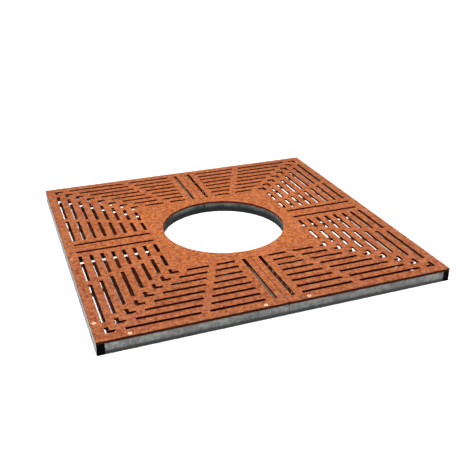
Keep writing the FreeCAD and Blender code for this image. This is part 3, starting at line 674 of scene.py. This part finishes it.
def raise_walls(stage):
    """Lights the grate from pale walls and a dim ceiling, and makes the backdrop that shows white."""
    world = bpy.data.worlds.new("studio")
    world.use_nodes = True
    tree = world.node_tree
    tree.nodes.clear()
    direction = add_node(tree, "ShaderNodeTexCoord").outputs["Generated"]
    rise = add_node(tree, "ShaderNodeSeparateXYZ", {"Vector": direction}).outputs["Z"]
    fill = add_node(tree, "ShaderNodeMapRange", {"Value": rise, "From Min": WALL_TOP,
                                                 "From Max": CEILING_EDGE, "To Min": stage.low_strength,
                                                 "To Max": stage.high_strength})
    seen = add_node(tree, "ShaderNodeLightPath").outputs["Is Camera Ray"]
    strength = add_node(tree, "ShaderNodeMix", {"Factor": seen, "A": fill, "B": stage.backdrop_strength})
    light = add_node(tree, "ShaderNodeBackground", {"Color": linear("FFFFFF"), "Strength": strength})
    add_node(tree, "ShaderNodeOutputWorld", {"Surface": light})
    bpy.context.scene.world = world


def place_camera(stage):
    """Stands the camera in front of the grate and to its left, looking down on it."""
    camera = bpy.data.cameras.new("camera")
    camera.lens = stage.camera_lens
    camera.sensor_width = SENSOR_WIDTH
    camera.clip_end = 4 * stage.floor_radius
    level = math.cos(stage.camera_tilt)
    ahead = Vector((math.sin(stage.camera_heading) * level, math.cos(stage.camera_heading) * level,
                    -math.sin(stage.camera_tilt)))
    viewer = add_object("camera", camera)
    viewer.location = stage.camera_place
    viewer.rotation_euler = ahead.to_track_quat("-Z", "Y").to_euler()
    bpy.context.scene.camera = viewer


class GRATE_OT_finish_plates(bpy.types.Operator):
    """Rusts the two slotted plates"""
    bl_idname = "grate.finish_plates"
    bl_label = "Rust the plates"

    def execute(self, context):
        dress(nodes_ending("_top_plate"), weathering_steel(context.scene.grate_plate))
        return {"FINISHED"}


class GRATE_OT_finish_frame(bpy.types.Operator):
    """Galvanises the tubes, the lugs and the rings"""
    bl_idname = "grate.finish_frame"
    bl_label = "Galvanise the frame"

    def execute(self, context):
        zinc = context.scene.grate_zinc
        dress(nodes_ending("_side_rail", "_front_rail", "_back_rail"),
              tube_zinc("steel_hot_dip_galvanised", zinc))
        # The seam rails get pale, warm zinc as painted light.
        dress(nodes_ending("_seam_rail"), seam_zinc("steel_galvanised_rust_washed_painted_lit", zinc))
        # The middle rails get the ring's darker zinc as painted shade under the plate.
        dress(nodes_ending("_middle_rail", "_tree_ring", "_ring_lugs"),
              ring_zinc("steel_galvanised_dull_painted_shade", zinc))
        return {"FINISHED"}


class GRATE_OT_lay_welds(bpy.types.Operator):
    """Lays rippled weld beads in the frame's inner corners"""
    bl_idname = "grate.lay_welds"
    bl_label = "Lay the welds"

    def execute(self, context):
        zinc = context.scene.grate_zinc
        weld_zinc = tube_zinc("weld_galvanised", zinc)
        for half, body in HALVES.items():
            node = half + "_frame_welds"
            mesh = bpy.data.meshes.new(half + "_weld_beads")
            shape = bmesh.new()
            for points in solids_in(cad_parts[node].data):
                leg = max(point.x for point in points) - min(point.x for point in points)
                add_bead(shape, points, leg, zinc.weld_ripple)
            bmesh.ops.recalc_face_normals(shape, faces=shape.faces[:])
            shape.to_mesh(mesh)
            shape.free()
            mesh.materials.append(weld_zinc)
            beads = add_object(half + "_weld_beads", mesh)
            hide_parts(node)
            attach(beads, body)
        return {"FINISHED"}


class GRATE_OT_finish_end_caps(bpy.types.Operator):
    """Makes the end caps black plastic"""
    bl_idname = "grate.finish_end_caps"
    bl_label = "Finish the end caps"

    def execute(self, context):
        dress(nodes_ending("_end_cap"), moulded_polyethylene(context.scene.grate_fasteners))
        return {"FINISHED"}


class GRATE_OT_finish_fasteners(bpy.types.Operator):
    """Finishes the screws, the rivet nuts and the set that joins the halves"""
    bl_idname = "grate.finish_fasteners"
    bl_label = "Finish the fasteners"

    def execute(self, context):
        fasteners = context.scene.grate_fasteners
        edge_steel = filmed_steel("stainless_steel_turned", fasteners.steel, fasteners.film,
                                  fasteners.film_least, fasteners.film_most, fasteners.film_metal)
        ring_steel = filmed_steel("stainless_steel_rust_filmed", fasteners.steel, fasteners.ring_film,
                                  fasteners.ring_film_least, fasteners.ring_film_most,
                                  fasteners.ring_film_metal)
        plated = turned_steel("steel_zinc_plated", fasteners.dull, fasteners.dull_roughness)
        dress(nodes_ending("_edge_screws"), edge_steel)
        dress(nodes_ending("_ring_screws"), ring_steel)
        dress(nodes_ending("_rivet_nuts", "joining_bolts", "joining_nuts", "_washers"), plated)
        return {"FINISHED"}


class GRATE_OT_set_stage(bpy.types.Operator):
    """Makes the floor, the lights and the camera"""
    bl_idname = "grate.set_stage"
    bl_label = "Set the stage"

    def execute(self, context):
        stage = context.scene.grate_stage
        lay_floor(stage)
        hang_key_light(stage)
        hang_back_panel(stage)
        raise_walls(stage)
        place_camera(stage)
        context.scene.view_settings.view_transform = "Standard"
        return {"FINISHED"}


class GRATE_PT_finishes(bpy.types.Panel):
    """Lists the grate's sizes and colours, and the steps that use them"""
    bl_idname = "GRATE_PT_finishes"
    bl_label = "Tree grate"
    bl_space_type = "VIEW_3D"
    bl_region_type = "UI"
    bl_category = "Tree grate"

    def draw(self, context):
        for name, settings_class in SETTINGS.items():
            settings = getattr(context.scene, name)
            column = self.layout.column()
            for key in settings_class.__annotations__:
                column.prop(settings, key)
        for operator in OPERATORS:
            self.layout.operator(operator.bl_idname)


SETTINGS = {"grate_plate": RustedPlateSettings, "grate_zinc": ZincSettings,
            "grate_fasteners": FastenerSettings, "grate_stage": StageSettings}
OPERATORS = (GRATE_OT_finish_plates, GRATE_OT_finish_frame, GRATE_OT_lay_welds, GRATE_OT_finish_end_caps,
             GRATE_OT_finish_fasteners, GRATE_OT_set_stage)
CLASSES = (*SETTINGS.values(), *OPERATORS, GRATE_PT_finishes)


def register():
    for item in CLASSES:
        bpy.utils.register_class(item)
    for name, settings_class in SETTINGS.items():
        setattr(bpy.types.Scene, name, PointerProperty(type=settings_class))


def unregister():
    for name in SETTINGS:
        delattr(bpy.types.Scene, name)
    for item in reversed(CLASSES):
        bpy.utils.unregister_class(item)


def main():
    register()
    bpy.ops.grate.finish_plates()
    bpy.ops.grate.finish_frame()
    bpy.ops.grate.lay_welds()
    bpy.ops.grate.finish_end_caps()
    bpy.ops.grate.finish_fasteners()
    bpy.ops.grate.set_stage()


if __name__ == "__main__":
    main()
